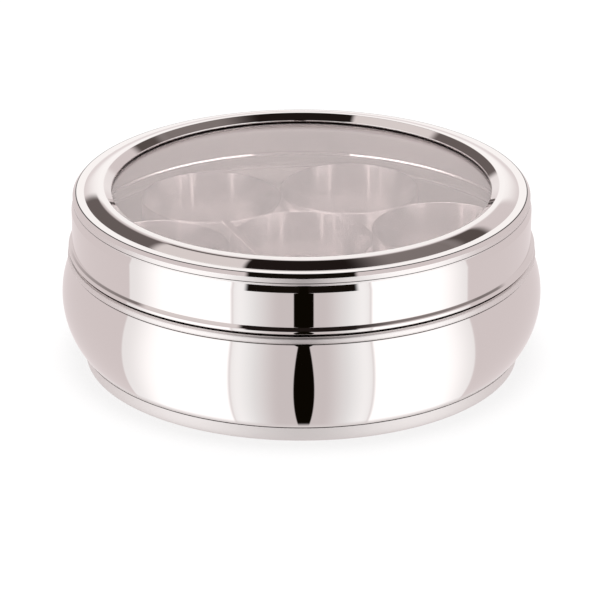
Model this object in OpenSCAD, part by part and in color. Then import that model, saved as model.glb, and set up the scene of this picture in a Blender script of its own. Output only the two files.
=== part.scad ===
// Round steel spice box with a see-through lid, seven loose cups and a spoon.
// Millimetres, +Z up, origin on the axis at the level that the box stands on.

/* [Cups] */
// Outer radius of a cup
cup_r = 32; // [28:0.5:36]
// Height of a cup
cup_h = 46.8; // [40:0.2:50]
// Sheet thickness of a cup
cup_wall = 0.5; // [0.4:0.1:0.8]
// Outer radius of the rounded corner at a cup's bottom
cup_corner_r = 4; // [2:0.5:6]
// Space between two cups
cup_gap = 0.4; // [0.3:0.1:1]
// Angle of the first outer cup from the right
cup_turn = 10; // [0:1:59]

/* [Body] */
// Space between the outer cups and the mouth
cup_slack = 4.1; // [3:0.1:6]
// Sheet thickness of the body
body_wall = 0.7; // [0.5:0.1:1]
// Height of the foot band
foot_h = 7; // [5:0.5:9]
// How far the foot band draws in towards the ground
foot_taper = 1.5; // [0.5:0.1:2]
// Width of the flat ring that the box stands on
foot_flat_w = 4; // [3:0.5:5]
// Height of the base panel's underside
panel_z = 6; // [4:0.5:8]
// Height of the belly's widest place
belly_z = 31; // [28:0.5:34]
// How far the belly stands out past its top edge
belly_out = 4; // [3:0.1:5]
// Height where the belly meets the shoulder bead
shoulder_z = 47.8; // [46:0.2:50]
// Radius of the shoulder bead's section
shoulder_bead_r = 1.85; // [1.5:0.05:2.2]
// How far the shoulder bead's centre lies outside the mouth
shoulder_step = 1.25; // [1:0.05:2]
// Height of the mouth over the lid's seat
mouth_h = 5; // [4:0.5:12]
// Radius of the rolled edge at the mouth
mouth_roll_r = 1; // [0.8:0.1:1.4]

/* [Lid] */
// Space between the mouth and the lid's band
lid_fit = 0.4; // [0.3:0.1:0.8]
// Sheet thickness of the lid's band, ring and retainer
lid_wall = 0.6; // [0.5:0.1:0.8]
// Height of the lid from its seat to the flat flange
lid_h = 27.4; // [26:0.2:32]
// Radius of the section of the bead round the lid's lower edge
lid_bead_r = 1.85; // [1.5:0.05:2.2]
// Height of the lower edge under the lid's bead
lid_edge_h = 0.1; // [0.1:0.1:0.6]
// How far the band draws in at its top
band_draw = 1.5; // [1.3:0.1:1.8]
// Height of the drawn-in shoulder of the band
band_shoulder_h = 2.7; // [2:0.1:3.5]
// Height of the groove between the band's shoulder and the folded lip
band_groove_h = 1.3; // [0.8:0.1:2]
// Outer radius of the bend where the band's top edge turns in
band_bend_r = 1; // [0.9:0.1:1.2]
// Width of the band's turned-in top edge, which carries the retainer
band_edge_w = 2.7; // [2.2:0.1:3.5]
// Height of the ring's lip that folds down over the band
fold_h = 3.9; // [3:0.1:4.5]
// Space between the folded lip and the band
fold_gap = 0.3; // [0.25:0.05:0.5]

/* [Lid top] */
// Width of the flat flange
flange_w = 5.1; // [4:0.1:6]
// Outer radius of the bend between the flange and the folded lip
flange_edge_r = 1.6; // [1.2:0.1:2]
// Width of the raised ring's outer slope
crown_run = 8.5; // [7.5:0.1:10]
// Height of the raised ring over the flange
crown_h = 2.9; // [2.7:0.1:4]
// Width of the raised ring's inner slope
inner_run = 3.7; // [3:0.1:4.5]
// Height of the raised ring's inner slope
inner_drop = 2.4; // [2:0.1:2.6]
// Height of the straight lip between the inner slope and the disc
lip_drop = 1.7; // [1.5:0.1:2]
// Thickness of the clear disc
window_t = 2; // [1.5:0.1:3]
// How far the disc reaches under the ring
window_lap = 7.2; // [6:0.1:8]
// Space round the disc's edge
window_gap = 0.3; // [0.2:0.1:0.5]
// Space between the retainer and the flange's bend
retainer_gap = 0.4; // [0.3:0.1:0.8]

/* [Spoon] */
// Radius of the bowl at its edge
bowl_r = 11; // [9:0.5:12]
// Radius of the sphere that the bowl is part of
bowl_sphere_r = 16; // [15:0.5:18]
// Sheet thickness of the spoon
spoon_t = 0.8; // [0.6:0.1:1]
// Width of the handle at the bowl
neck_w = 4.4; // [4:0.2:5]
// Width of the handle at its end
handle_w = 5.8; // [5:0.2:6]
// Length from the bowl's centre to the handle's end
handle_reach = 71; // [70:0.5:72]
// Direction of the handle, from the bowl to its end
handle_turn = 158.5; // [150:0.5:160]
// Distance of the bowl behind the cup's axis
bowl_back = 26.5; // [24:0.5:27]
// Distance of the handle's line beside the cup's axis
handle_side = 5; // [3:0.5:6]
// Space between the spoon and the cup's floor and rim
spoon_gap = 0.4; // [0.3:0.1:0.6]

/* [Hidden] */
$fn = 96;
// Larger than any section of the box, for clipping
far = 300;
steel = "silver";
cup_steel = "gainsboro";
clear = [0.86, 0.84, 0.84, 0.35];

// Cups stand on the base panel
cup_pitch = 2 * cup_r + cup_gap;
cup_z = panel_z + body_wall;
cup_inner_r = cup_r - cup_wall;
rim_z = cup_z + cup_h;

// Mouth, shoulder and belly of the body
mouth_inner_r = cup_pitch + cup_r + cup_slack;
mouth_r = mouth_inner_r + body_wall;
bead_x = mouth_r + shoulder_step;
bead_z = shoulder_z + shoulder_bead_r;
seat_z = shoulder_z + 2 * shoulder_bead_r;
mouth_z = seat_z + mouth_h;
belly_top_r = bead_x + body_wall;
belly_r = belly_top_r + belly_out;
belly_curve_r = arc_radius(belly_out, shoulder_z - belly_z);
belly_x = belly_r - belly_curve_r;
crease_r = belly_x + sqrt(pow(belly_curve_r, 2) - pow(belly_z - foot_h, 2));
foot_r = crease_r - foot_taper;
panel_r = foot_r - foot_flat_w + body_wall;

// Lid, stacked up from its seat on the shoulder
band_inner_r = mouth_r + lid_fit;
band_r = band_inner_r + lid_wall;
lid_bead_z = seat_z + lid_edge_h + lid_bead_r;
flange_z = seat_z + lid_h;
flange_under_z = flange_z - lid_wall;
fold_z = flange_z - fold_h;
band_neck_z = fold_z - band_groove_h;
band_top_z = band_neck_z - band_shoulder_h;
band_neck_r = band_r - band_draw;
band_edge_z = flange_under_z - lid_wall;

// Raised ring, disc and retainer, from the folded lip inwards
fold_r = band_neck_r + fold_gap + lid_wall;
flange_r = fold_r - flange_edge_r;
crown_foot_r = fold_r - flange_w;
crown_x = crown_foot_r - crown_run;
crown_z = flange_z + crown_h;
crown_curve_r = arc_radius(crown_h, crown_run);
lip_z = crown_z - inner_drop;
view_r = crown_x - inner_run;
window_top_z = lip_z - lip_drop;
window_z = window_top_z - window_t;
window_r = view_r + window_lap;
riser_r = window_r + window_gap;
retainer_z = window_z - lid_wall;
retainer_r = flange_r - retainer_gap;

// Spoon: its sphere stands on the cup's floor and the handle lies on the rim
bowl_edge_z = sqrt(pow(bowl_sphere_r, 2) - pow(bowl_r, 2));
bowl_inner_r = sqrt(pow(bowl_sphere_r - spoon_t, 2) - pow(bowl_edge_z, 2));
spoon_z = cup_z + cup_wall + spoon_gap + bowl_sphere_r;
rim_run = bowl_back + sqrt(pow(cup_inner_r, 2) - pow(handle_side + handle_w / 2, 2));
rim_rise = rim_z + spoon_gap - spoon_z;
rim_far = sqrt(pow(rim_run, 2) + pow(rim_rise, 2));
spoon_lean = atan2(rim_rise, rim_run) + asin((bowl_edge_z + spoon_t) / rim_far);

// Radius of an arc that moves over by rise along a length of run
function arc_radius(rise, run) = (pow(rise, 2) + pow(run, 2)) / (2 * rise);

// Bent sheet: a ring section about a centre, kept inside a window
module bent_sheet(centre, r, wall, corner, size) {
    intersection() {
        translate(centre) difference() {
            circle(r = r);
            circle(r = r - wall);
        }
        translate(corner) square(size);
    }
}

// Flat or upright sheet between two corners
module sheet(low, high) {
    translate(low) square(high - low);
}

// Pressed bead that stands out, as a half ring of sheet
module pressed_bead(centre, r, wall) {
    bent_sheet(centre, r, wall, [centre[0], centre[1] - r], [r, 2 * r]);
}

module foot_section() {
    polygon([
        [foot_r - body_wall, 0],
        [foot_r, 0],
        [crease_r, foot_h],
        [crease_r - body_wall, foot_h]
    ]);
    sheet([foot_r - foot_flat_w, 0], [foot_r, body_wall]);
    sheet([foot_r - foot_flat_w, 0], [panel_r, cup_z]);
    sheet([0, panel_z], [panel_r, cup_z]);
}

module belly_section() {
    bent_sheet(
        [belly_x, belly_z], belly_curve_r, body_wall,
        [belly_x, foot_h], [far, shoulder_z + body_wall - foot_h]
    );
}

module mouth_section() {
    pressed_bead([bead_x, bead_z], shoulder_bead_r, body_wall);
    sheet([mouth_inner_r, seat_z - body_wall], [bead_x, seat_z]);
    sheet([mouth_inner_r, seat_z - body_wall], [mouth_r, mouth_z - mouth_roll_r]);
    translate([mouth_r - mouth_roll_r, mouth_z - mouth_roll_r]) circle(r = mouth_roll_r);
}

module body_shell() {
    color(steel) rotate_extrude() {
        foot_section();
        belly_section();
        mouth_section();
    }
}

// Bend that turns a level sheet into an upright one at its outer side
module corner_bend(centre, r, wall) {
    bent_sheet(centre, r, wall, centre, [r, r]);
}

// Top of the band: sloped shoulder, neck and turned-in edge
module band_top_section() {
    bend = [band_neck_r - band_bend_r, band_edge_z - band_bend_r];
    polygon([
        [band_inner_r, band_top_z],
        [band_r, band_top_z],
        [band_neck_r, band_neck_z],
        [band_neck_r - lid_wall, band_neck_z]
    ]);
    sheet([band_neck_r - lid_wall, band_neck_z], [band_neck_r, bend[1]]);
    corner_bend(bend, band_bend_r, lid_wall);
    sheet([band_neck_r - band_edge_w, band_edge_z - lid_wall], [bend[0], band_edge_z]);
}

module lid_band() {
    color(steel) rotate_extrude() {
        sheet([band_inner_r, seat_z], [band_r, lid_bead_z - lid_bead_r + lid_wall]);
        pressed_bead([band_r, lid_bead_z], lid_bead_r, lid_wall);
        sheet([band_inner_r, lid_bead_z + lid_bead_r - lid_wall], [band_r, band_top_z]);
        band_top_section();
    }
}

module ring_flange_section() {
    bend = [flange_r, flange_z - flange_edge_r];
    sheet([crown_foot_r, flange_under_z], [flange_r, flange_z]);
    corner_bend(bend, flange_edge_r, lid_wall);
    sheet([fold_r - lid_wall, fold_z], [fold_r, bend[1]]);
}

// Inner slope of the raised ring and the upright lip that holds the disc down
module ring_lip_section() {
    polygon([
        [crown_x, crown_z],
        [view_r, lip_z],
        [view_r, window_top_z],
        [view_r + lid_wall, window_top_z],
        [view_r + lid_wall, lip_z],
        [crown_x, crown_z - lid_wall]
    ]);
}

module lid_ring() {
    color(steel) rotate_extrude() {
        ring_flange_section();
        bent_sheet(
            [crown_x, crown_z - crown_curve_r], crown_curve_r, lid_wall,
            [crown_x, flange_under_z], [crown_run, crown_h + lid_wall]
        );
        ring_lip_section();
    }
}

module lid_window() {
    color(clear) translate([0, 0, window_z]) cylinder(r = window_r, h = window_t);
}

module lid_retainer() {
    color(steel) rotate_extrude() {
        sheet([view_r + lid_wall, retainer_z], [riser_r + lid_wall, window_z]);
        sheet([riser_r, retainer_z], [riser_r + lid_wall, flange_under_z]);
        sheet([riser_r, flange_under_z - lid_wall], [retainer_r, flange_under_z]);
    }
}

module cup() {
    floor_r = cup_r - cup_corner_r;
    color(cup_steel) translate([0, 0, cup_z]) rotate_extrude() {
        sheet([0, 0], [floor_r, cup_wall]);
        bent_sheet(
            [floor_r, cup_corner_r], cup_corner_r, cup_wall,
            [floor_r, 0], [cup_corner_r, cup_corner_r]
        );
        sheet([cup_inner_r, cup_corner_r], [cup_r, cup_h]);
    }
}

// Outer cup by its number, counted round from the first
module outer_cup(number) {
    rotate([0, 0, cup_turn + 60 * (number - 1)]) translate([cup_pitch, 0, 0]) cup();
}

module spoon_bowl() {
    intersection() {
        difference() {
            sphere(r = bowl_sphere_r);
            sphere(r = bowl_sphere_r - spoon_t);
        }
        translate([-far / 2, -far / 2, -bowl_edge_z - far]) cube(far);
    }
}

// Flat handle that widens to a round end
module spoon_handle() {
    end_r = handle_w / 2;
    end_x = handle_reach - end_r;
    translate([0, 0, -bowl_edge_z - spoon_t]) linear_extrude(spoon_t) {
        polygon([
            [bowl_inner_r, -neck_w / 2],
            [end_x, -end_r],
            [end_x, end_r],
            [bowl_inner_r, neck_w / 2]
        ]);
        translate([end_x, 0]) circle(r = end_r);
    }
}

module spoon() {
    color(cup_steel)
        rotate([0, 0, handle_turn])
            translate([-bowl_back, handle_side, spoon_z])
                rotate([0, -spoon_lean, 0]) {
                    spoon_bowl();
                    spoon_handle();
                }
}

body_shell();
lid_band();
lid_ring();
lid_window();
lid_retainer();
cup();  // cup_centre
outer_cup(1);  // cup_1
outer_cup(2);  // cup_2
outer_cup(3);  // cup_3
outer_cup(4);  // cup_4
outer_cup(5);  // cup_5
outer_cup(6);  // cup_6
spoon();
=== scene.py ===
"""Polished steel spice box with a see-through lid, dressed over its solid model.

Lengths are in millimetres and angles in degrees unless a name says otherwise. Meshes are in metres.
"""
import logging
import math
from dataclasses import dataclass
from enum import Enum

import bmesh
import bpy
from bpy.types import ID, Material, Node, NodeSocket, NodeTree, Object
from mathutils import Matrix, Vector


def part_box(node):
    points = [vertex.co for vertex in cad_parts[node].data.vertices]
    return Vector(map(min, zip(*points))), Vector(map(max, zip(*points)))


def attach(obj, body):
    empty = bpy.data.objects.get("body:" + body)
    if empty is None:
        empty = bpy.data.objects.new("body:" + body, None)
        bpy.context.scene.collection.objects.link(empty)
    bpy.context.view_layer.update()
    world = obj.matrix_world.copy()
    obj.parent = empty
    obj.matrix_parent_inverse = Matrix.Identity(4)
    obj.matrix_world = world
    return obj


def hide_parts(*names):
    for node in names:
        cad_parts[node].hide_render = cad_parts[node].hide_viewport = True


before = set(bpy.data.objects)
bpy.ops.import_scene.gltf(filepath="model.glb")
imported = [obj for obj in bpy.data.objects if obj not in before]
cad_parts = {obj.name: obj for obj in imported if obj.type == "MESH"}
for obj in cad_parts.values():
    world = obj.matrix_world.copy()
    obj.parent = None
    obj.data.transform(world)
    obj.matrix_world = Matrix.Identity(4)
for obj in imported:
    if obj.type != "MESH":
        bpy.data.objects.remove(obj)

LOG = logging.getLogger("spice_box")
MM = 0.001
WHITE = "ffffff"
Point = tuple[float, float]
Colour = tuple[float, float, float, float]
Feed = Node | NodeSocket | Colour


class Body(str, Enum):
    """The moving bodies that pieces ride on, apart from each cup's own."""

    BOX = "box"
    LID = "lid"
    SPOON = "spoon_body"


class Slot(str, Enum):
    """The record's material slots."""

    BOX_STEEL = "box_steel"
    CUP_STEEL = "cup_steel"
    WINDOW = "window"


def box_mm(node: str) -> tuple[list[float], list[float]]:
    """Lowest and highest corner of a solid, in millimetres."""
    low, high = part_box(node)
    return [v / MM for v in low], [v / MM for v in high]


def placed(name: str, data: ID) -> Object:
    """Add an object to the scene.

    Args:
        name: the object's name.
        data: its mesh, light or camera.

    Returns:
        The object, at the origin.
    """
    thing = bpy.data.objects.new(name, data)
    bpy.context.scene.collection.objects.link(thing)
    return thing


# Nodes


def linear(hex_colour: str, strength: float = 1.0) -> Colour:
    """Turn an sRGB hex colour into linear light.

    Args:
        hex_colour: six hex digits.
        strength: brightness, where one is as written.

    Returns:
        Linear red, green and blue, with an alpha of one.
    """
    parts = [int(hex_colour[i:i + 2], 16) / 255 for i in (0, 2, 4)]
    light = [p / 12.92 if p <= 0.04045 else ((p + 0.055) / 1.055) ** 2.4 for p in parts]
    return (light[0] * strength, light[1] * strength, light[2] * strength, 1.0)


def blank_material(name: str) -> tuple[Material, NodeTree]:
    """Make a material that has no nodes yet.

    Args:
        name: the material's name.

    Returns:
        The material and its node tree.
    """
    material = bpy.data.materials.new(name)
    material.use_nodes = True
    material.node_tree.nodes.clear()
    return material, material.node_tree


def add_node(tree: NodeTree, kind: str, inputs: dict | None = None, **settings: object) -> Node:
    """Add a node with its settings, values and links.

    Args:
        tree: the node tree.
        kind: the node's type name, where a shader node's may leave out ShaderNode.
        inputs: socket name or number to a value, to the socket that feeds it or to a node whose first
            output feeds it.
        settings: the node's own properties.

    Returns:
        The new node.
    """
    node = tree.nodes.new(kind if "Node" in kind else "ShaderNode" + kind)
    for name, value in settings.items():
        setattr(node, name, value)
    for name, value in (inputs or {}).items():
        feed = value.outputs[0] if isinstance(value, Node) else value
        if isinstance(feed, NodeSocket):
            tree.links.new(feed, node.inputs[name])
        else:
            node.inputs[name].default_value = feed
    return node


def passed(tree: NodeTree, value: NodeSocket, *edges: Point) -> Node:
    """Mask a value by soft edges.

    Args:
        tree: the node tree.
        value: the value.
        edges: for each edge, the value up to which it gives zero and the value from which it gives one.

    Returns:
        A node that gives one past all the edges and zero before any of them.
    """
    mask = None
    for start, full in edges:
        step = add_node(
            tree, "MapRange", {"Value": value, "From Min": start, "From Max": full},
            interpolation_type="SMOOTHSTEP",
        )
        mask = add_node(tree, "Math", {0: mask, 1: step}, operation="MULTIPLY") if mask else step
    return mask


def between(tree: NodeTree, value: NodeSocket, ends: Point, soft: Point) -> Node:
    """Mask a value between a low and a high end, with a soft edge of its own width at each."""
    low, high = soft[0] / 2, soft[1] / 2
    return passed(tree, value, (ends[0] - low, ends[0] + low), (ends[1] + high, ends[1] - high))


def layered(tree: NodeTree, ground: Feed, layers: list[tuple[Feed, Feed]]) -> Feed:
    """Lay colours over a ground, each over the ones before it.

    Args:
        tree: the node tree.
        ground: the colour under all of them.
        layers: mask and colour of each layer.

    Returns:
        The colour that shows.
    """
    for mask, colour in layers:
        mix = add_node(tree, "Mix", {0: mask, 6: ground, 7: colour}, data_type="RGBA")
        ground = mix.outputs[2]
    return ground


# Outlines of bent sheet

# Points closer than this are one
SAME_POINT = 1e-4
# A sharp corner's inner side stays within twice the wall
LEAST_LEAN = 0.5
# Flat kept beside a bend
BEND_GUARD = 0.35
# How far a dressed edge stands out, as a share of half its width
EDGE_RISE = 0.6
EDGE_STEPS = 6
# Guard points on each flat of a ridge, as shares of the flat
RIDGE_GUARDS = (0.15, 0.85)


def on_arc(centre: Point, r: float, angle: float) -> Point:
    """Point on an arc, at an angle from straight outwards towards up."""
    a = math.radians(angle)
    return (centre[0] + r * math.cos(a), centre[1] + r * math.sin(a))


def arc(centre: Point, r: float, start: float, end: float, steps: int) -> list[Point]:
    """Points on an arc from one angle to another, both ends included."""
    return [on_arc(centre, r, start + (end - start) * i / steps) for i in range(steps + 1)]


def arc_radius(rise: float, run: float) -> float:
    """Radius of an arc that moves over by rise along a length of run."""
    return (rise * rise + run * run) / (2 * rise)


def rounded(corners: list[tuple[float, float, float]], steps: int = 8) -> list[Point]:
    """Round the corners of a path, with a guard point beside each bend.

    The guard keeps the flat beside a bend truly flat in a mirror finish.

    Args:
        corners: radius, height and bend radius of each corner. A bend of zero is kept sharp.
        steps: straight steps in a bend.

    Returns:
        The path's points.
    """
    path: list[Point] = []
    for i, (x, z, bend) in enumerate(corners):
        here = Vector((x, z))
        if bend <= 0 or i in (0, len(corners) - 1):
            path.append((x, z))
            continue
        back = (Vector(corners[i - 1][:2]) - here).normalized()
        ahead = (Vector(corners[i + 1][:2]) - here).normalized()
        half = back.angle(ahead) / 2
        reach = bend / math.tan(half)
        centre = here + (back + ahead).normalized() * (bend / math.sin(half))
        first = here + back * reach - centre
        turn = first.angle_signed(here + ahead * reach - centre)
        path.append(tuple(here + back * (reach + BEND_GUARD)))
        for k in range(steps + 1):
            spoke = first.copy()
            spoke.rotate(Matrix.Rotation(-turn * k / steps, 2))
            path.append(tuple(centre + spoke))
        path.append(tuple(here + ahead * (reach + BEND_GUARD)))
    return path


def sheet_loop(path: list[Point], wall: float, ridged: bool = False) -> list[Point]:
    """Give a path the thickness of its sheet.

    Args:
        path: the sheet's outer side. Its inner side lies to the left of the way it runs.
        wall: the sheet's thickness.
        ridged: whether the last edge is dressed to a fine ridge and not to a half round.

    Returns:
        A closed outline with half-round ends. An end on the axis stays open there.
    """
    pts: list[Vector] = []
    for point in path:
        if not pts or (Vector(point) - pts[-1]).length > SAME_POINT:
            pts.append(Vector(point))
    inner: list[Vector] = []
    for i, here in enumerate(pts):
        before = (here - pts[i - 1]).normalized() if i else None
        after = (pts[i + 1] - here).normalized() if i + 1 < len(pts) else None
        along = ((before or after) + (after or before)).normalized()
        left = Vector((-along.y, along.x))
        lean = left.dot(Vector((-(after or before).y, (after or before).x)))
        inner.append(here + left * (wall / max(lean, LEAST_LEAN)))
    loop = pts + dressed_edge(pts[-1], inner[-1], pts[-1] - pts[-2], ridged) + inner[::-1]
    if pts[0].x > SAME_POINT:
        loop += dressed_edge(inner[0], pts[0], pts[0] - pts[1]) + pts[:1]
    return [tuple(p) for p in loop]


def dressed_edge(start: Vector, end: Vector, out: Vector, ridged: bool = False) -> list[Vector]:
    """Dress a sheet's edge between its two sides.

    Args:
        start: the edge of the first side.
        end: the edge of the second side.
        out: the way that the edge faces.
        ridged: whether two flats meet in a fine ridge. Otherwise the edge is half round.

    Returns:
        The points between the two sides.
    """
    middle = (start + end) / 2
    side = start - middle
    rise = out.normalized() * side.length * EDGE_RISE
    if ridged:
        top = middle + rise
        return [start.lerp(top, s) for s in RIDGE_GUARDS] + [top] + [top.lerp(end, s) for s in RIDGE_GUARDS]
    angles = [math.pi * k / EDGE_STEPS for k in range(1, EDGE_STEPS)]
    return [middle + side * math.cos(a) + rise * math.sin(a) for a in angles]


# Turning an outline about an axis

# The last column is welded to the first, then any doubles left at the poles
WELD_M = 1e-6
DOUBLES_M = 1e-7


def turned_tree() -> NodeTree:
    """Build the node tree that turns an outline about the upright axis.

    Returns:
        A tree with inputs for the outline, the number of steps round, the axis and the material.
    """
    tree = bpy.data.node_groups.new("Turned sheet", "GeometryNodeTree")
    inputs = {"Outline": "Geometry", "Steps round": "Int", "Axis": "Vector", "Finish": "Material"}
    for name, kind in inputs.items():
        tree.interface.new_socket(name, in_out="INPUT", socket_type="NodeSocket" + kind)
    tree.interface.new_socket("Sheet", in_out="OUTPUT", socket_type="NodeSocketGeometry")
    source = add_node(tree, "NodeGroupInput")
    outline = source.outputs["Outline"]
    # The grid has a row for each point of the outline, and its last column meets its first
    domain = add_node(tree, "GeometryNodeAttributeDomainSize", {0: outline}, component="MESH")
    count = domain.outputs["Point Count"]
    columns = add_node(tree, "Math", {0: source.outputs["Steps round"], 1: 1.0}, operation="ADD")
    grid = add_node(
        tree, "GeometryNodeMeshGrid",
        {"Size X": 1.0, "Size Y": 1.0, "Vertices X": columns, "Vertices Y": count},
    )
    place = add_node(tree, "SeparateXYZ", {0: grid.outputs["UV Map"]})
    last = add_node(tree, "Math", {0: count, 1: 1.0}, operation="SUBTRACT")
    row = add_node(tree, "Math", {0: place.outputs["Y"], 1: last}, operation="MULTIPLY")
    whole = add_node(tree, "FunctionNodeFloatToInt", {0: row}, rounding_mode="ROUND")
    position = add_node(tree, "GeometryNodeInputPosition")
    spot = add_node(
        tree, "GeometryNodeSampleIndex", {"Geometry": outline, "Value": position, "Index": whole},
        data_type="FLOAT_VECTOR", domain="POINT",
    )
    angle = add_node(tree, "Math", {0: place.outputs["X"], 1: math.tau}, operation="MULTIPLY")
    turned = add_node(tree, "VectorRotate", {"Vector": spot, "Angle": angle}, rotation_type="Z_AXIS")
    moved = add_node(tree, "VectorMath", {0: turned, 1: source.outputs["Axis"]}, operation="ADD")
    sheet = add_node(tree, "GeometryNodeSetPosition", {"Geometry": grid.outputs["Mesh"], "Position": moved})
    for kind, values in (
        ("MergeByDistance", {"Distance": WELD_M}),
        ("SetShadeSmooth", {"Shade Smooth": True}),
        ("RealizeInstances", {}),
        ("SetMaterial", {"Material": source.outputs["Finish"]}),
    ):
        sheet = add_node(tree, "GeometryNode" + kind, {"Geometry": sheet, **values})
    add_node(tree, "NodeGroupOutput", {0: sheet})
    return tree


@dataclass
class Lathe:
    """Turns outlines into finished pieces.

    Attributes:
        tree: the node tree that turns an outline.
    """

    tree: NodeTree

    def turn(
        self, name: str, loop: list[Point], finish: Material, steps: int, axis: Point = (0.0, 0.0)
    ) -> Object:
        """Turn a closed outline into a piece.

        Args:
            name: the piece's name.
            loop: the outline as radius and height.
            finish: the piece's material.
            steps: number of faces round the axis.
            axis: where the axis stands.

        Returns:
            The piece, as a plain mesh at the origin.
        """
        outline = bpy.data.meshes.new(name + "_outline")
        edges = [(i, i + 1) for i in range(len(loop) - 1)]
        outline.from_pydata([(r * MM, 0.0, z * MM) for r, z in loop], edges, [])
        maker = placed(name + "_maker", outline)
        turn = maker.modifiers.new("Turn", "NODES")
        turn.node_group = self.tree
        values = {"Steps round": steps, "Axis": (axis[0] * MM, axis[1] * MM, 0.0), "Finish": finish}
        for item in self.tree.interface.items_tree:
            if item.in_out == "INPUT" and item.name in values:
                turn[item.identifier] = values[item.name]
        return settled(maker, name)


def settled(maker: Object, name: str) -> Object:
    """Turn an object's evaluated shape into a plain piece with faces outwards.

    Args:
        maker: the object whose modifiers make the shape. It is removed.
        name: the piece's name.

    Returns:
        The piece, at the origin.
    """
    depsgraph = bpy.context.evaluated_depsgraph_get()
    mesh = bpy.data.meshes.new_from_object(maker.evaluated_get(depsgraph))
    bpy.data.objects.remove(maker)
    mesh.name = name
    shape = bmesh.new()
    shape.from_mesh(mesh)
    bmesh.ops.remove_doubles(shape, verts=shape.verts, dist=DOUBLES_M)
    bmesh.ops.dissolve_degenerate(shape, dist=DOUBLES_M, edges=shape.edges)
    bmesh.ops.recalc_face_normals(shape, faces=shape.faces)
    shape.to_mesh(mesh)
    shape.free()
    return placed(name, mesh)


def seat(piece: Object, node: str, body: str) -> None:
    """Put a piece in its node's place on a body.

    Args:
        piece: the piece.
        node: the solid that it stands for.
        body: the body that it rides on.
    """
    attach(piece, body)
    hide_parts(node)
    LOG.info("%s rides on %s, %d faces", piece.name, body, len(piece.data.polygons))


# Finishes


@dataclass(frozen=True)
class Crease:
    """A fold line round the box, darkened with painted shade where the fold leaves a shadowed gap.

    Attributes:
        r: radius of the line.
        z: height of the line.
        reach: how far the painted shade spreads from it.
        core: share of the reach that is dark all over.
    """

    r: float
    z: float
    reach: float
    core: float = 0.5

    def mask(self, tree: NodeTree, section: NodeSocket) -> Node:
        """Mask the painted shade, by radius and height of the place in metres."""
        off = add_node(
            tree, "VectorMath", {0: section, 1: (self.r * MM, self.z * MM, 0.0)}, operation="DISTANCE"
        )
        return passed(tree, off.outputs["Value"], (self.reach * MM, self.core * self.reach * MM))


@dataclass(frozen=True)
class FinishBand:
    """A stretch with another polish than the rest, such as where the buffing wheel can't reach.

    Attributes:
        r: smallest and largest distance of the stretch from the axis, or from the centre of its curve.
        z: lowest and highest height of the stretch.
        centre: the curve's centre as radius and height. A straight stretch has none.
        roughness: haze of the stretch.
        soft: width of its soft edges across the sheet, and up and down.
    """

    r: Point
    z: Point
    centre: Point | None = None
    roughness: float = 0.34
    soft: Point = (0.02, 0.2)

    def mask(self, tree: NodeTree, section: NodeSocket, radius: NodeSocket, height: NodeSocket) -> Node:
        """Mask the stretch.

        Args:
            tree: the material's node tree.
            section: radius and height of the place, in metres.
            radius: the radius alone.
            height: the height alone.

        Returns:
            A node that gives one in the stretch and zero outside.
        """
        if self.centre:
            middle = (self.centre[0] * MM, self.centre[1] * MM, 0.0)
            off = add_node(tree, "VectorMath", {0: section, 1: middle}, operation="DISTANCE")
            radius = off.outputs["Value"]
        across, level = (
            between(tree, value, (ends[0] * MM, ends[1] * MM), (soft * MM, soft * MM))
            for value, ends, soft in ((radius, self.r, self.soft[0]), (height, self.z, self.soft[1]))
        )
        return add_node(tree, "Math", {0: across, 1: level}, operation="MULTIPLY")


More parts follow.
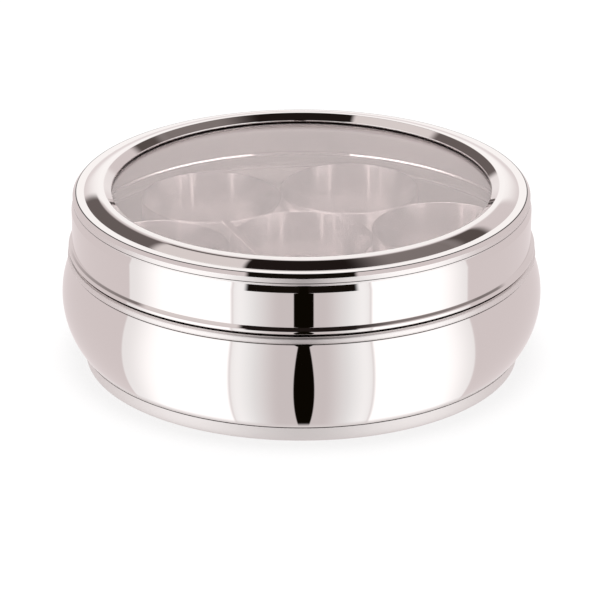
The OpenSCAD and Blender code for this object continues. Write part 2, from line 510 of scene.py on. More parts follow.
@dataclass(frozen=True)
class PolishedSteel:
    """Buffed stainless steel sheet: a mirror with a faint haze along the buffing wheel's lines.

    Attributes:
        name: the finish's name.
        colour: sRGB hex colour of the metal.
        roughness: haze of the polish.
        line_mm: spacing of the buffing lines, drawn coarser than real so that they show.
        smudge_mm: size of the handling marks.
        relief: strength of the buffing lines' relief.
        relief_depth: depth of the lines as a share of their spacing.
        creases: fold lines darkened with painted shade.
        bands: stretches with another polish.
        brushed: how far the haze follows lines round the axis, from zero to one.
        uneven: how far the haze varies.
        marks: lowest and highest strength of lines and handling marks together.
        crease_shade: sRGB hex colour of the painted shade in the fold lines.
    """

    name: str
    colour: str
    roughness: float
    line_mm: float
    smudge_mm: float
    relief: float = 0.004
    relief_depth: float = 0.05
    creases: tuple[Crease, ...] = ()
    bands: tuple[FinishBand, ...] = ()
    brushed: float = 0.0
    uneven: float = 0.4
    marks: Point = (0.1, 0.45)
    crease_shade: str = "2a2423"

    def make(self, axis: Point = (0.0, 0.0)) -> Material:
        """Build the material about an axis.

        Args:
            axis: where the sheet was spun, which centres its lines.

        Returns:
            The material.
        """
        material, tree = blank_material(self.name)
        place = add_node(tree, "TexCoord").outputs["Object"]
        away = (-axis[0] * MM, -axis[1] * MM, 0.0)
        centred = add_node(tree, "Mapping", {"Vector": place, "Location": away})
        split = add_node(tree, "SeparateXYZ", {0: centred})
        flat = add_node(tree, "CombineXYZ", {0: split.outputs["X"], 1: split.outputs["Y"]})
        radius = add_node(tree, "VectorMath", {0: flat}, operation="LENGTH").outputs["Value"]
        height = split.outputs["Z"]
        section = add_node(tree, "CombineXYZ", {0: radius, 1: height}).outputs[0]
        lines = add_node(
            tree, "TexNoise",
            {"Vector": section, "Scale": 1.0 / (self.line_mm * MM), "Detail": 3.0, "Roughness": 0.6},
        ).outputs["Fac"]
        smudge = add_node(
            tree, "TexNoise",
            {"Vector": centred, "Scale": 1.0 / (self.smudge_mm * MM), "Detail": 4.0},
        ).outputs["Fac"]
        both = add_node(tree, "Math", {0: lines, 1: smudge}, operation="MULTIPLY")
        haze = add_node(tree, "MapRange", {
            "Value": both, "From Min": self.marks[0], "From Max": self.marks[1],
            "To Min": self.roughness * (1.0 - self.uneven), "To Max": self.roughness * (1.0 + self.uneven),
        })
        for band in self.bands:
            mask = band.mask(tree, section, radius, height)
            haze = add_node(tree, "Mix", {0: mask, 2: haze, 3: band.roughness}, data_type="FLOAT")
        # Painted shade: the fold lines are darkened in the metal's base colour
        shade_colour = linear(self.crease_shade)
        shaded_folds = [(crease.mask(tree, section), shade_colour) for crease in self.creases]
        bump = add_node(tree, "Bump", {
            "Height": lines, "Strength": self.relief, "Distance": self.line_mm * MM * self.relief_depth,
        })
        shader = add_node(tree, "BsdfPrincipled", {
            "Base Color": layered(tree, linear(self.colour), shaded_folds),
            "Metallic": 1.0, "Roughness": haze, "Normal": bump,
        })
        if self.brushed:
            tangent = add_node(tree, "Tangent", direction_type="RADIAL", axis="Z")
            tree.links.new(tangent.outputs[0], shader.inputs["Tangent"])
            shader.inputs["Anisotropic"].default_value = self.brushed
            # A quarter turn, because lines round the axis spread a highlight up and down
            shader.inputs["Anisotropic Rotation"].default_value = 0.25
        add_node(tree, "OutputMaterial", {"Surface": shader})
        return material


@dataclass(frozen=True)
class ClearAcrylic:
    """Cast acrylic sheet: clear, with fine scratches from wiping and a pale bloom over what lies under it.

    Attributes:
        name: the finish's name.
        colour: sRGB hex tint of the sheet.
        ior: how far it bends light.
        roughness: lowest and highest haze of the surface.
        veil: sRGB hex colour of the bloom that dust and wiping leave on it.
        veil_share: share of the light that the bloom takes.
        scratch_mm: spacing of the wiping marks, drawn coarser than real so that they show.
        marks: lowest and highest strength of the wiping marks.
    """

    name: str = "Clear cast acrylic"
    colour: str = "fbf6f5"
    ior: float = 1.49
    roughness: Point = (0.0005, 0.0016)
    veil: str = "e8d8d7"
    veil_share: float = 0.188
    scratch_mm: float = 2.5
    marks: Point = (0.35, 0.7)

    def make(self) -> Material:
        """Build the material.

        Returns:
            The material.
        """
        material, tree = blank_material(self.name)
        place = add_node(tree, "TexCoord").outputs["Object"]
        scale = 1.0 / (self.scratch_mm * MM)
        marks = add_node(tree, "TexNoise", {"Vector": place, "Scale": scale, "Detail": 5.0})
        haze = add_node(tree, "MapRange", {
            "Value": marks.outputs["Fac"], "From Min": self.marks[0], "From Max": self.marks[1],
            "To Min": self.roughness[0], "To Max": self.roughness[1],
        })
        clear = add_node(tree, "BsdfPrincipled", {
            "Base Color": linear(self.colour), "Roughness": haze, "IOR": self.ior, "Transmission Weight": 1.0,
        })
        bloom = add_node(tree, "BsdfDiffuse", {"Color": linear(self.veil)})
        both = add_node(tree, "MixShader", {0: self.veil_share, 1: clear, 2: bloom})
        add_node(tree, "OutputMaterial", {"Surface": both})
        return material


# Painted shade in the fold lines under the lid's lip, between the two beads, under the shoulder bead, over
# the foot, where the ring meets the disc and along a line near the flange's outer edge
BOX_CREASES = (
    Crease(101.55, 75.0, 0.32),
    Crease(102.3, 51.55, 0.6),
    Crease(103.05, 47.85, 0.4),
    Crease(98.4, 7.0, 0.4),
    Crease(84.3, 78.2, 0.9),
    Crease(100.15, 78.9, 0.36),
)
# The folded lip with the neck under it, the shoulder bead and the foot, then the insides of the band,
# the mouth, the shoulder bead and the belly
BOX_SATIN = (
    FinishBand((100.3, 110.0), (73.75, 77.25)),
    FinishBand((102.5, 110.0), (47.9, 51.4)),
    FinishBand((96.0, 110.0), (-0.5, 6.9), roughness=0.55),
    FinishBand((101.0, 101.9), (52.0, 70.8)),
    FinishBand((100.3, 100.8), (51.0, 54.6)),
    FinishBand((0.9, 1.5), (47.8, 51.6), (102.45, 49.65)),
    FinishBand((36.3, 36.95), (7.0, 47.9), (69.87, 31.0)),
)
# The rims, which wiping keeps bright
CUP_RIM = (FinishBand((-1.0, 40.0), (53.4, 54.0), roughness=0.03),)
# Buffed to a mirror: crisp dark and white reflections, softer where the wheel can't reach
BOX_STEEL = PolishedSteel(
    "Mirror-polished stainless steel", "dcd8d7", 0.012, 0.6, 45.0, creases=BOX_CREASES, bands=BOX_SATIN
)
# Spun and left satin: reflections spread into upright streaks
CUP_STEEL = PolishedSteel(
    "Spun stainless steel cup sheet", "b6b1b0", 0.18, 0.5, 25.0, relief=0.0005,
    bands=CUP_RIM, brushed=1.0, uneven=0.12,
)
# Tumbled bright: soft reflections, and round edges that catch a bright line
SPOON_STEEL = PolishedSteel(
    "Polished stainless steel spoon sheet", "d2cdcc", 0.07, 0.5, 25.0, relief=0.0005, uneven=0.1
)


# Sub-assemblies


@dataclass
class SteelBody:
    """The drawn body: base panel, foot, belly, shoulder bead and mouth."""

    wall: float = 0.7
    foot_h: float = 7.0
    foot_taper: float = 1.5
    foot_flat_w: float = 4.0
    panel_z: float = 6.0
    edge_bend: float = 0.9
    crease_bend: float = 0.6
    belly_z: float = 31.0
    belly_out: float = 4.0
    belly_lead: Point = (2.0, 3.0)
    belly_steps: int = 48
    shoulder_z: float = 47.8
    bead_r: float = 1.85
    bead_arc: Point = (-66.0, 90.0)
    bead_steps: int = 20
    shoulder_step: float = 1.25
    shoulder_bend: float = 0.25
    mouth_roll_r: float = 1.0
    roll_arc: Point = (4.0, 250.0)
    roll_flat: Point = (122.0, 172.0)
    roll_steps: tuple[int, int] = (12, 8)
    flat_guards: Point = (0.12, 0.88)
    lap: float = 0.05
    steps_round: int = 256

    def __post_init__(self) -> None:
        """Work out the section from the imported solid's box."""
        high = box_mm("body_shell")[1]
        self.belly_r = high[0]
        self.mouth_z = high[2]
        self.belly_top_r = self.belly_r - self.belly_out
        self.bead_x = self.belly_top_r - self.wall
        self.mouth_r = self.bead_x - self.shoulder_step
        self.seat_z = self.shoulder_z + 2 * self.bead_r
        self.curve_r = arc_radius(self.belly_out, self.shoulder_z - self.belly_z)

    def path(self) -> list[Point]:
        """Draw the outer side of the sheet.

        Returns:
            The path from the middle of the base to the mouth's roll.
        """
        centre = (self.belly_r - self.curve_r, self.belly_z)
        low = math.degrees(math.asin((self.foot_h - self.belly_z) / self.curve_r))
        top = math.degrees(math.asin((self.shoulder_z - self.belly_z) / self.curve_r))
        crease = on_arc(centre, self.curve_r, low)
        lifted = on_arc(centre, self.curve_r, low + self.belly_lead[0])
        foot_r = crease[0] - self.foot_taper
        inner_r = foot_r - self.foot_flat_w
        base = rounded([
            (0.0, self.panel_z, 0.0),
            (inner_r, self.panel_z, self.edge_bend),
            (inner_r, 0.0, self.edge_bend),
            (foot_r, 0.0, self.edge_bend),
            (*crease, self.crease_bend),
            (*lifted, 0.0),
        ])
        belly = arc(centre, self.curve_r, low + self.belly_lead[1], top, self.belly_steps)
        bead_middle = (self.bead_x, self.shoulder_z + self.bead_r)
        bead = arc(bead_middle, self.bead_r, *self.bead_arc, self.bead_steps)
        roll_z = self.mouth_z - self.mouth_roll_r
        mouth = rounded([
            (self.bead_x - self.lap, self.seat_z, 0.0),
            (self.mouth_r, self.seat_z, self.shoulder_bend),
            (self.mouth_r, roll_z, 0.0),
        ])
        middle = (self.mouth_r - self.mouth_roll_r, roll_z)
        over = arc(middle, self.mouth_roll_r, self.roll_arc[0], self.roll_flat[0], self.roll_steps[0])
        under = arc(middle, self.mouth_roll_r, self.roll_flat[1], self.roll_arc[1], self.roll_steps[1])
        # The roll is burnished flat where it faces up and in
        start, end = Vector(over[-1]), Vector(under[0])
        flat = [tuple(start.lerp(end, share)) for share in self.flat_guards]
        return base + belly + bead + mouth + over + flat + under

    def build(self, lathe: Lathe, finish: Material) -> None:
        """Turn the body from its finish's sheet and put it in place."""
        piece = lathe.turn("steel_body", sheet_loop(self.path(), self.wall), finish, self.steps_round)
        seat(piece, "body_shell", Body.BOX.value)


@dataclass
class SeeThroughLid:
    """The lid: band, folded top ring, clear disc and retaining ring."""

    wall: float = 0.6
    bead_r: float = 1.85
    bead_point: Point = (2.66, 1.65)
    bead_bend: float = 1.1
    band_in: float = 0.1
    edge_h: float = 0.1
    edge_w: float = 2.7
    edge_bend: float = 1.0
    band_draw: float = 1.5
    band_bend_steps: int = 12
    shoulder_h: float = 2.7
    shoulder_bend: float = 0.3
    groove_h: float = 1.3
    fold_h: float = 3.9
    flange_w: float = 5.1
    flange_cut: Point = (1.4, 1.6)
    crown_run: float = 8.5
    crown_h: float = 2.9
    crown_lead: Point = (3.0, 4.0)
    crown_end: float = 85.0
    crown_steps: int = 28
    crest_bend: float = 1.5
    inner_run: float = 3.7
    inner_drop: float = 2.4
    lip_bend: float = 0.5
    lip_gap: float = 0.2
    fine_bend: float = 0.3
    disc_bend: float = 0.3
    disc_gap: float = 0.3
    clamp_bend: float = 0.7
    clamp_trim: float = 0.2
    lap: float = 0.05
    steps_round: int = 256
    inner_steps_round: int = 192

    def __post_init__(self) -> None:
        """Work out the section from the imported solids' boxes."""
        band_low, band_high = box_mm("lid_band")
        ring_high = box_mm("lid_ring")[1]
        disc_low, disc_high = box_mm("lid_window")
        clamp_low, clamp_high = box_mm("lid_retainer")
        self.seat_z = band_low[2]
        self.band_r = band_high[0] - self.bead_r
        self.fold_r = ring_high[0]
        self.crown_z = ring_high[2]
        self.flange_z = self.crown_z - self.crown_h
        self.fold_z = self.flange_z - self.fold_h
        self.weld_z = self.flange_z - 2 * self.wall
        self.crown_x = self.fold_r - self.flange_w - self.crown_run
        self.view_r = self.crown_x - self.inner_run
        self.disc_r = disc_high[0]
        self.disc_z = (disc_low[2], disc_high[2])
        self.clamp_r = clamp_high[0]
        self.clamp_z = clamp_low[2]

    def band_path(self) -> list[Point]:
        """Draw the outer side of the band.

        Returns:
            The path from its lower edge up to the edge that turns in.
        """
        lower_z = self.seat_z + self.edge_h
        neck_z = self.fold_z - self.groove_h
        neck_r = self.band_r - self.band_draw
        return rounded([
            (self.band_r - self.wall + self.band_in, lower_z, 0.0),
            (self.band_r + self.bead_point[0], lower_z + self.bead_point[1], self.bead_bend),
            (self.band_r, lower_z + 2 * self.bead_r, self.fine_bend),
            (self.band_r, neck_z - self.shoulder_h, self.shoulder_bend),
            (neck_r, neck_z, self.fine_bend),
            (neck_r, self.weld_z, self.edge_bend),
            (neck_r - self.edge_w, self.weld_z, 0.0),
        ], self.band_bend_steps)

    def ring_path(self) -> list[Point]:
        """Draw the outer side of the top ring.

        Returns:
            The path from the fold's edge over the crown to the disc.
        """
        curve_r = arc_radius(self.crown_h, self.crown_run)
        slope = math.degrees(math.acos(self.crown_run / curve_r))
        centre = (self.crown_x, self.crown_z - curve_r)
        edge = rounded([
            (self.fold_r, self.fold_z, 0.0),
            (self.fold_r, self.flange_z - self.flange_cut[1], self.fine_bend),
            (self.fold_r - self.flange_cut[0], self.flange_z, self.fine_bend),
            (self.crown_x + self.crown_run, self.flange_z, self.fine_bend),
            (*on_arc(centre, curve_r, slope + self.crown_lead[0]), 0.0),
        ])
        crown = arc(centre, curve_r, slope + self.crown_lead[1], self.crown_end, self.crown_steps)
        inner = rounded([
            (crown[-1][0] - self.lap, crown[-1][1], 0.0),
            (self.crown_x, self.crown_z, self.crest_bend),
            (self.view_r, self.crown_z - self.inner_drop, self.lip_bend),
            (self.view_r, self.disc_z[1] + self.lip_gap, 0.0),
        ])
        return edge + crown + inner

    def clamp_path(self) -> list[Point]:
        """Draw the lower side of the retaining ring.

        Returns:
            The path from its inner edge out.
        """
        riser_r = self.disc_r + self.disc_gap + self.wall
        return rounded([
            (self.view_r + self.wall + self.clamp_trim, self.clamp_z, 0.0),
            (riser_r, self.clamp_z, self.clamp_bend),
            (riser_r, self.weld_z, self.fine_bend),
            (self.clamp_r - self.clamp_trim, self.weld_z, 0.0),
        ])

    def disc_loop(self) -> list[Point]:
        """Outline of the clear disc."""
        rim = [(self.disc_r, z, self.disc_bend) for z in self.disc_z]
        return rounded([(0.0, self.disc_z[0], 0.0), *rim, (0.0, self.disc_z[1], 0.0)])

    def build(self, lathe: Lathe, steel: Material, clear: Material) -> None:
        """Turn the lid's pieces and put them in place.

        Args:
            lathe: turns the outlines.
            steel: finish of the band, ring and retainer.
            clear: finish of the disc.
        """
        for name, node, path, steps in (
            ("lid_side_band", "lid_band", self.band_path(), self.steps_round),
            ("lid_top_ring", "lid_ring", self.ring_path(), self.steps_round),
            ("lid_retaining_ring", "lid_retainer", self.clamp_path(), self.inner_steps_round),
        ):
            piece = lathe.turn(name, sheet_loop(path, self.wall), steel, steps)
            seat(piece, node, Body.LID.value)
        disc = lathe.turn("lid_clear_disc", self.disc_loop(), clear, self.inner_steps_round)
        seat(disc, "lid_window", Body.LID.value)


@dataclass
class SpiceCup:
    """One loose cup, in its node's place."""

    node: str
    wall: float = 0.5
    corner_r: float = 4.0
    corner_steps: int = 14
    rim_h: float = 0.15
    steps_round: int = 128

    def __post_init__(self) -> None:
        """Read the cup's size and place from its solid."""
        low, high = box_mm(self.node)
        self.axis = ((low[0] + high[0]) / 2, (low[1] + high[1]) / 2)
        self.floor_z = low[2]
        self.rim_z = high[2]
        self.r = (high[0] - low[0]) / 2

    def path(self) -> list[Point]:
        """Outer side of the sheet, from the middle of the floor to the rim."""
        floor = [(0.0, self.floor_z, 0.0), (self.r, self.floor_z, self.corner_r)]
        return rounded([*floor, (self.r, self.rim_z - self.rim_h, 0.0)], self.corner_steps)

    def build(self, lathe: Lathe, steel: PolishedSteel) -> None:
        """Turn the cup and put it in place.

        Args:
            lathe: turns the outline.
            steel: the cup's finish, which is centred on the cup's own axis.
        """
        loop = sheet_loop(self.path(), self.wall, ridged=True)
        finish = steel.make(self.axis)
        piece = lathe.turn(self.node + "_steel", loop, finish, self.steps_round, self.axis)
        seat(piece, self.node, self.node + "_body")


@dataclass
class SpiceSpoon:
    """The small spoon that leans in the middle cup."""

    bowl_r: float = 11.0
    sphere_r: float = 16.0
    sheet: float = 0.8
    neck_w: float = 4.4
    handle_w: float = 5.8
    reach: float = 71.0
    turn_deg: float = 158.5
    bowl_back: float = 26.5
    side: float = 5.0
    gap: float = 0.4
    cup_wall: float = 0.5
    edge_trim: float = 0.5
    fillet: float = 1.6
    fillet_run: float = 2.5
    stations: int = 110
    crowding: float = 0.85
    columns: int = 16
    edge_steps: int = 8

    def __post_init__(self) -> None:
        """Work out how the spoon leans from the middle cup's box."""
        low, high = box_mm("cup_centre")
        inner_r = (high[0] - low[0]) / 2 - self.cup_wall
        self.edge_z = math.sqrt(self.sphere_r ** 2 - self.bowl_r ** 2)
        self.outline_r = self.bowl_r - self.edge_trim
        self.centre_z = low[2] + self.cup_wall + self.gap + self.sphere_r
        run = self.bowl_back + math.sqrt(inner_r ** 2 - (self.side + self.handle_w / 2) ** 2)
        rise = high[2] + self.gap - self.centre_z
        self.lean = math.atan2(rise, run) + math.asin((self.edge_z + self.sheet) / math.hypot(run, rise))

    def half_width(self, x: float) -> float:
        """Half of the spoon's width at a distance from the bowl's centre.

        Args:
            x: distance towards the handle.

        Returns:
            The half width.
        """
        bowl = math.sqrt(max(self.outline_r ** 2 - x * x, 0.0))
        if x < 0:
            return bowl
        end_r = self.handle_w / 2
        end_x = self.reach - end_r
        if x > end_x:
            return math.sqrt(max(end_r ** 2 - (x - end_x) ** 2, 0.0))
        along = (x - self.outline_r) / (end_x - self.outline_r)
        strip = self.neck_w / 2 + (end_r - self.neck_w / 2) * max(along, 0.0)
        fillet = self.fillet * math.exp(-((x - self.outline_r) / self.fillet_run) ** 2)
        return max(bowl, strip + fillet)

    def section(self, x: float) -> list[Point]:
        """Closed section of the sheet at a distance from the bowl's centre, with half-round edges.

        Args:
            x: distance towards the handle.

        Returns:
            Points across and up, from the left edge over the top and back underneath.
        """
        half = self.half_width(x)
        # Both tips of the sheet are rounded off too
        tip = min(x + self.outline_r, self.reach - x, self.sheet / 2)
        thick = math.sqrt(max(self.sheet * tip - tip * tip, 0.0))
        flat = max(half - thick, 0.0)
        loop = []
        for side in (1, -1):
            for j in range(self.columns + 1):
                loop.append((side * flat * (2 * j / self.columns - 1), side * thick))
            for k in range(1, self.edge_steps):
                a = math.pi / 2 - math.pi * k / self.edge_steps
                loop.append((side * (flat + (half - flat) * math.cos(a)), side * thick * math.sin(a)))
        middle_r = self.sphere_r - self.sheet / 2
        points = []
        for y, up in loop:
            across = max(-flat, min(flat, y))
            drop = math.sqrt(max(middle_r ** 2 - x * x - across * across, 0.0))
            points.append((y, up - max(drop, self.edge_z + self.sheet / 2)))
        return points

    def build(self, finish: Material) -> None:
        """Shape the spoon from sheet and put it in place.

        Args:
            finish: the spoon's finish.
        """
        shape = bmesh.new()
        rows = []
        for i in range(self.stations + 1):
            t = i / self.stations
            # Stations crowd towards both round ends
            spread = 0.5 - 0.5 * math.cos(math.pi * t)
            share = self.crowding * spread + (1.0 - self.crowding) * t
            x = -self.outline_r + (self.reach + self.outline_r) * share
            rows.append([shape.verts.new((x * MM, y * MM, z * MM)) for y, z in self.section(x)])
        count = len(rows[0])
        for a, b in zip(rows, rows[1:]):
            for j in range(count):
                k = (j + 1) % count
                shape.faces.new((a[j], b[j], b[k], a[k])).smooth = True
        lean = Matrix.Rotation(-self.lean, 4, "Y")
        place = Matrix.Translation(Vector((-self.bowl_back, self.side, self.centre_z)) * MM)
        turn = Matrix.Rotation(math.radians(self.turn_deg), 4, "Z")
        bmesh.ops.transform(shape, matrix=turn @ place @ lean, verts=shape.verts)
        mesh = bpy.data.meshes.new("spoon_sheet")
        shape.to_mesh(mesh)
        shape.free()
        mesh.materials.append(finish)
        piece = settled(placed("spoon_maker", mesh), "spice_spoon")
        seat(piece, "spoon", Body.SPOON.value)


# Studio


@dataclass(frozen=True)
class MirroringFace:
    """The face that mirrors a direction to the photograph's viewpoint, as sockets of the world's nodes.

    Attributes:
        turn: how far it is turned to the right of the front.
        spread: how far it is turned to either side.
        tilt: how far it is tilted up.
    """

    turn: NodeSocket
    spread: NodeSocket
    tilt: NodeSocket


@dataclass(frozen=True)
class Panel:
    """One bright or dark area of the studio that the steel reflects, placed by the face that mirrors it.

    Attributes:
        name: what the area is.
        colour: sRGB hex colour.
        strength: brightness, where one is white.
        turn: lowest and highest turn of the face.
        tilt: lowest and highest tilt of the face.
        soft: width of the soft edge at the lowest and at the highest turn.
        level_soft: width of the soft edge at both tilts.
        mirrored: whether it stands on both sides of the box.
    """

    name: str
    colour: str
    strength: float
    turn: Point
    tilt: Point
    soft: Point
    level_soft: float = 4.0
    mirrored: bool = False

    def mask(self, tree: NodeTree, face: MirroringFace) -> Node:
        """Mask the area: one where the mirroring face is within its turns and tilts, zero outside."""
        masks = {
            0: between(tree, face.spread if self.mirrored else face.turn, self.turn, self.soft),
            1: between(tree, face.tilt, self.tilt, (self.level_soft, self.level_soft)),
        }
        return add_node(tree, "Math", masks, operation="MULTIPLY", label=self.name)


@dataclass(frozen=True)
class Slit:
    """The dark gap between the two front screens, widest a little under level and closing up and down.

    Attributes:
        colour: sRGB hex colour.
        turn: turn of the face that mirrors its middle.
        half: half of its width where it is widest.
        middle: tilt of the face that mirrors its widest place.
        reach: tilt from there to where it closes.
        foot: tilts between which the floor hides its lower end.
        soft: width of its soft edge.
    """

    colour: str = "0e0a04"
    turn: float = 0.55
    half: float = 2.475
    middle: float = -6.35
    reach: float = 47.6
    foot: Point = (-41.0, -34.0)
    soft: float = 0.3

    def mask(self, tree: NodeTree, face: MirroringFace) -> Node:
        """Mask the gap.

        Args:
            tree: the world's node tree.
            face: the mirroring face.

        Returns:
            A node that gives one inside the gap and zero outside.
        """
        above = add_node(tree, "Math", {0: face.tilt, 1: self.middle}, operation="SUBTRACT")
        share = add_node(tree, "Math", {0: above, 1: self.reach}, operation="DIVIDE")
        square = add_node(tree, "Math", {0: share, 1: share}, operation="MULTIPLY")
        narrowed = {0: square, 1: -self.half, 2: self.half}
        half = add_node(tree, "Math", narrowed, operation="MULTIPLY_ADD")
        off = add_node(tree, "Math", {0: face.turn, 1: self.turn}, operation="SUBTRACT")
        away = add_node(tree, "Math", {0: off}, operation="ABSOLUTE")
        depth = add_node(tree, "Math", {0: half, 1: away}, operation="SUBTRACT").outputs[0]
        gap = passed(tree, depth, (-self.soft / 2, self.soft / 2))
        shown = passed(tree, face.tilt, self.foot)
        return add_node(tree, "Math", {0: gap, 1: shown}, operation="MULTIPLY")


ALL_TURNS = (-181.0, 181.0)
SCREEN_TILT = (-60.0, 34.0)
ROOM_TILT = (50.0, 75.0)
INSIDE_TILT = (-60.0, 60.0)
PANELS = (
    Panel("grey card before the box", "e6dede", 1.0, (-10.0, 10.0), SCREEN_TILT, (12.0, 12.0)),
    Panel("pale screen", WHITE, 1.06, (9.0, 17.2), SCREEN_TILT, (8.0, 8.0), mirrored=True),
    Panel("bright edge of the screen", WHITE, 1.28, (13.5, 17.2), SCREEN_TILT, (6.0, 6.0), mirrored=True),
    Panel("edge of the softbox", "fbf6f6", 1.08, (16.9, 17.5), SCREEN_TILT, (0.5, 0.5), mirrored=True),
    Panel("softbox on the left", "fffdfd", 1.1, (-47.5, -17.5), SCREEN_TILT, (0.8, 0.8)),
    Panel("softbox on the right", "fffdfd", 1.1, (17.5, 45.4), SCREEN_TILT, (0.8, 0.8)),
    Panel("softboxes' lamps", "fffefe", 1.5, (17.5, 41.0), SCREEN_TILT, (0.8, 12.0), mirrored=True),
    Panel("white side walls high up", "fffdfc", 1.28, (80.0, 181.0), (62.0, 91.0), (6.0, 1.0), 40.0, True),
    Panel("dim room to the right", "8e8583", 1.0, (10.0, 47.0), ROOM_TILT, (2.0, 8.0)),
    Panel("dark doorway to the right", "625956", 1.0, (46.0, 59.5), ROOM_TILT, (8.0, 5.0)),
    Panel("pale wall to the left", "f6eeec", 1.0, (-44.0, -12.0), ROOM_TILT, (5.0, 2.0)),
    Panel("dark top of the pale wall", "6a6260", 1.0, (-44.0, -12.0), (71.5, 75.0), (5.0, 2.0), 2.0),
    Panel("dim room to the far left", "746b69", 1.0, (-83.0, -43.5), (50.0, 73.0), (6.0, 4.0)),
    Panel("dark room over the camera", "241d1b", 1.0, (-15.5, 19.0), (46.0, 76.0), (2.0, 14.0), 2.0),
    Panel("dark curtain over the screens", "18130f", 1.0, (-13.8, 13.8), (27.0, 47.0), (1.5, 1.5), 2.0),
    Panel("white ceiling and back wall", "fffdfc", 1.27, ALL_TURNS, (77.0, 91.0), (1.0, 1.0)),
)
# What the cups, the mouth and the spoon mirror out through the disc
INSIDE_PANELS = (
    Panel("softboxes' front edges", "fff8f7", 2.6, (16.0, 18.0), INSIDE_TILT, (0.6, 0.6), mirrored=True),
    Panel("lamps in the softboxes", "fff8f7", 2.3, (27.0, 28.6), INSIDE_TILT, (0.6, 0.6), mirrored=True),
    Panel("tops of the softboxes", WHITE, 5.5, (13.0, 45.0), (31.5, 34.5), (1.5, 24.0), 0.6, True),
    Panel("lamp over the right screen", "fffaf9", 6.0, (8.0, 36.0), (40.0, 56.0), (4.0, 4.0)),
)


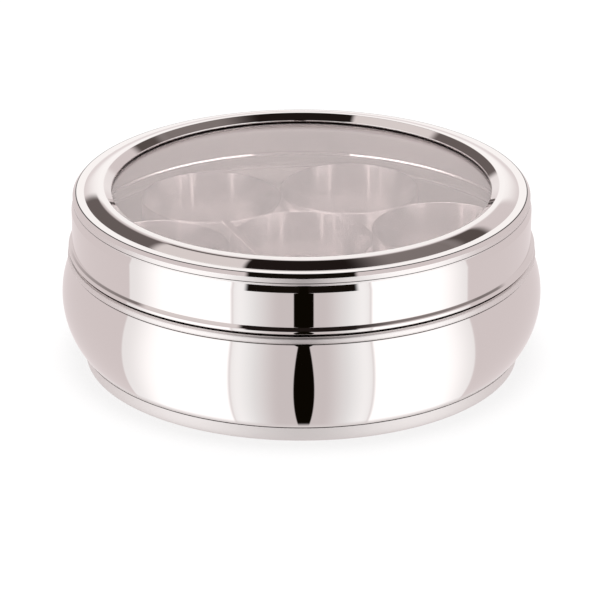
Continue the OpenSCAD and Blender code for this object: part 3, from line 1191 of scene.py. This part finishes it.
@dataclass
class Studio:
    """Camera, reflected surroundings, lamp and floor."""

    distance: float = 1700.0
    elevation_deg: float = 22.58
    look_z: float = 40.0
    focal_px: float = 3794.0
    image_px: float = 600.0
    look_px: Point = (301.5, 268.2)
    sensor_mm: float = 36.0
    far_m: float = 50.0
    wall_colour: str = "efe5e5"
    panels: tuple[Panel, ...] = PANELS
    slit: Slit = Slit()
    plain_behind: Point = (-0.8, -0.94)
    inside_colour: str = "655d5c"
    inside_panels: tuple[Panel, ...] = INSIDE_PANELS
    overhead_rise: Point = (0.72, 0.9)
    overhead_strength: float = 4.4
    mirror_turns: int = 24
    lamp_size_m: float = 1.2
    lamp_watts: float = 14.0
    lamp_spot_m: tuple[float, float, float] = (0.0, 0.1, 1.6)
    floor_colour: str = "f4f2f2"
    floor_white: float = 0.72
    floor_half_m: float = 4.0
    near_floor: Point = (96.5, 100.5)
    near_floor_colour: str = "f4eeee"
    near_floor_z: float = -0.1
    near_floor_steps: int = 96

    def __post_init__(self) -> None:
        """Work out the way from the box to the photograph's viewpoint."""
        tilt = math.radians(self.elevation_deg)
        self.viewpoint = (0.0, -math.cos(tilt), math.sin(tilt))
        self.up = (0.0, math.sin(tilt), math.cos(tilt))

    def build(self) -> None:
        """Make the whole studio."""
        self.camera()
        self.surroundings()
        self.lamp()
        self.floor()
        self.near_floor_glow()
        scene = bpy.context.scene
        scene.view_settings.view_transform = "Standard"
        # Cups inside a box are mirrors inside a mirror, so light needs many turns to get out again
        scene.cycles.max_bounces = self.mirror_turns
        scene.cycles.glossy_bounces = self.mirror_turns
        scene.cycles.transmission_bounces = self.mirror_turns

    def camera(self) -> None:
        """Place the camera as the photograph was taken, aimed and not shifted."""
        look = Vector((0.0, 0.0, self.look_z))
        scale = self.distance / self.focal_px
        middle = self.image_px / 2
        aim = look - Vector((1.0, 0.0, 0.0)) * ((self.look_px[0] - middle) * scale)
        aim += Vector(self.up) * ((self.look_px[1] - middle) * scale)
        spot = look + Vector(self.viewpoint) * self.distance
        data = bpy.data.cameras.new("Camera")
        data.sensor_width = self.sensor_mm
        data.lens = self.sensor_mm * self.focal_px / self.image_px
        data.clip_end = self.far_m
        camera = placed("Camera", data)
        camera.location = spot * MM
        camera.rotation_euler = (aim - spot).to_track_quat("-Z", "Y").to_euler()
        bpy.context.scene.camera = camera

    def surroundings(self) -> None:
        """Make the world: studio panels to the steel and through the disc, and plain white to the rest.

        The panels are a fixed pattern of directions. A direction and the way to the photograph's viewpoint
        have one face between them that mirrors the one to the other, and its turn and tilt place the panels.
        """
        world = bpy.data.worlds.new("Studio")
        bpy.context.scene.world = world
        world.use_nodes = True
        tree = world.node_tree
        tree.nodes.clear()
        way = add_node(tree, "TexCoord").outputs["Generated"]
        path = add_node(tree, "LightPath")
        through = path.outputs["Is Transmission Ray"]
        face = self.mirroring_face(tree, way)
        # All turns meet straight opposite the viewpoint, so the wall is plain there
        facing = add_node(tree, "VectorMath", {0: way, 1: self.viewpoint}, operation="DOT_PRODUCT")
        plain = passed(tree, facing.outputs["Value"], self.plain_behind)
        rise = add_node(tree, "SeparateXYZ", {0: way}).outputs["Z"]
        overhead = passed(tree, rise, self.overhead_rise)
        above = add_node(tree, "Math", {0: overhead, 1: through}, operation="MULTIPLY")
        walls, within = (
            [(panel.mask(tree, face), linear(panel.colour, panel.strength)) for panel in panels]
            for panels in (self.panels, self.inside_panels)
        )
        around = layered(tree, linear(self.wall_colour), walls + [
            (self.slit.mask(tree, face), linear(self.slit.colour)),
            (plain, linear(self.wall_colour)),
            (through, layered(tree, linear(self.inside_colour), within)),
            (above, linear(WHITE, self.overhead_strength)),
        ])
        seen = add_node(tree, "Background", {"Color": around, "Strength": 1.0})
        white = add_node(tree, "Background", {"Color": linear(WHITE), "Strength": 1.0})
        rays = {0: path.outputs["Is Glossy Ray"], 1: through}
        steel = add_node(tree, "Math", rays, operation="ADD", use_clamp=True)
        both = add_node(tree, "MixShader", {0: steel, 1: white, 2: seen})
        add_node(tree, "OutputWorld", {"Surface": both})

    def mirroring_face(self, tree: NodeTree, way: NodeSocket) -> MirroringFace:
        """Find the face that mirrors a direction to the photograph's viewpoint.

        Args:
            tree: the world's node tree.
            way: the direction.

        Returns:
            The face.
        """
        halfway = add_node(tree, "VectorMath", {0: way, 1: self.viewpoint}, operation="ADD")
        face = add_node(tree, "VectorMath", {0: halfway}, operation="NORMALIZE")
        split = add_node(tree, "SeparateXYZ", {0: face})
        front = add_node(tree, "Math", {0: split.outputs["Y"], 1: -1.0}, operation="MULTIPLY")
        aside = add_node(tree, "Math", {0: split.outputs["X"], 1: front}, operation="ARCTAN2")
        turn = add_node(tree, "Math", {0: aside}, operation="DEGREES")
        spread = add_node(tree, "Math", {0: turn}, operation="ABSOLUTE")
        rise = add_node(tree, "Math", {0: split.outputs["Z"]}, operation="ARCSINE")
        tilt = add_node(tree, "Math", {0: rise}, operation="DEGREES")
        return MirroringFace(turn.outputs[0], spread.outputs[0], tilt.outputs[0])

    def lamp(self) -> None:
        """Hang one broad lamp that gives the floor its soft shadow and stays out of the reflections."""
        data = bpy.data.lights.new("Overhead lamp", "AREA")
        data.shape = "DISK"
        data.size = self.lamp_size_m
        data.energy = self.lamp_watts
        lamp = placed("Overhead lamp", data)
        lamp.location = self.lamp_spot_m
        lamp.visible_glossy = False
        lamp.visible_transmission = False

    def floor(self) -> None:
        """Lay the pale floor, which the steel doesn't reflect."""
        material, tree = blank_material("Pale studio floor")
        matt = add_node(tree, "BsdfDiffuse", {"Color": linear(self.floor_colour)})
        glow = add_node(tree, "Emission", {"Color": linear(WHITE), "Strength": 1.0})
        eye = add_node(tree, "LightPath").outputs["Is Camera Ray"]
        share = add_node(tree, "Math", {0: eye, 1: self.floor_white}, operation="MULTIPLY")
        both = add_node(tree, "MixShader", {0: share, 1: matt, 2: glow})
        add_node(tree, "OutputMaterial", {"Surface": both})
        half = self.floor_half_m
        mesh = bpy.data.meshes.new("floor")
        corners = [(-half, -half, 0.0), (half, -half, 0.0), (half, half, 0.0), (-half, half, 0.0)]
        mesh.from_pydata(corners, [], [(0, 1, 2, 3)])
        mesh.materials.append(material)
        floor = placed("floor", mesh)
        floor.visible_glossy = False

    def near_floor_glow(self) -> None:
        """Lay the stretch of floor under the belly that only the steel mirrors."""
        material, tree = blank_material("Pale floor under the belly")
        place = add_node(tree, "TexCoord").outputs["Object"]
        radius = add_node(tree, "VectorMath", {0: place}, operation="LENGTH").outputs["Value"]
        inner, outer = (r * MM for r in self.near_floor)
        fade = passed(tree, radius, (inner, outer))
        glow = add_node(tree, "Emission", {"Color": linear(self.near_floor_colour), "Strength": 1.0})
        clear = add_node(tree, "BsdfTransparent")
        both = add_node(tree, "MixShader", {0: fade, 1: glow, 2: clear})
        add_node(tree, "OutputMaterial", {"Surface": both})
        shape = bmesh.new()
        bmesh.ops.create_circle(shape, cap_ends=True, segments=self.near_floor_steps, radius=outer)
        bmesh.ops.translate(shape, verts=shape.verts, vec=(0.0, 0.0, self.near_floor_z * MM))
        mesh = bpy.data.meshes.new("near_floor")
        shape.to_mesh(mesh)
        shape.free()
        mesh.materials.append(material)
        near = placed("near_floor", mesh)
        near.visible_camera = False
        near.visible_diffuse = False
        near.visible_transmission = False
        near.visible_shadow = False


def main() -> None:
    """Dress the box, its lid, cups and spoon, and set up the studio."""
    logging.basicConfig(level=logging.INFO, format="%(name)s: %(message)s")
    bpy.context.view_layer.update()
    Studio().build()
    lathe = Lathe(turned_tree())
    steel = BOX_STEEL.make()
    SteelBody().build(lathe, steel)
    SeeThroughLid().build(lathe, steel, ClearAcrylic().make())
    cups = sorted(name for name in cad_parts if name.startswith("cup_"))
    for name in cups:
        SpiceCup(name).build(lathe, CUP_STEEL)
    SpiceSpoon().build(SPOON_STEEL.make())


if __name__ == "__main__":
    main()
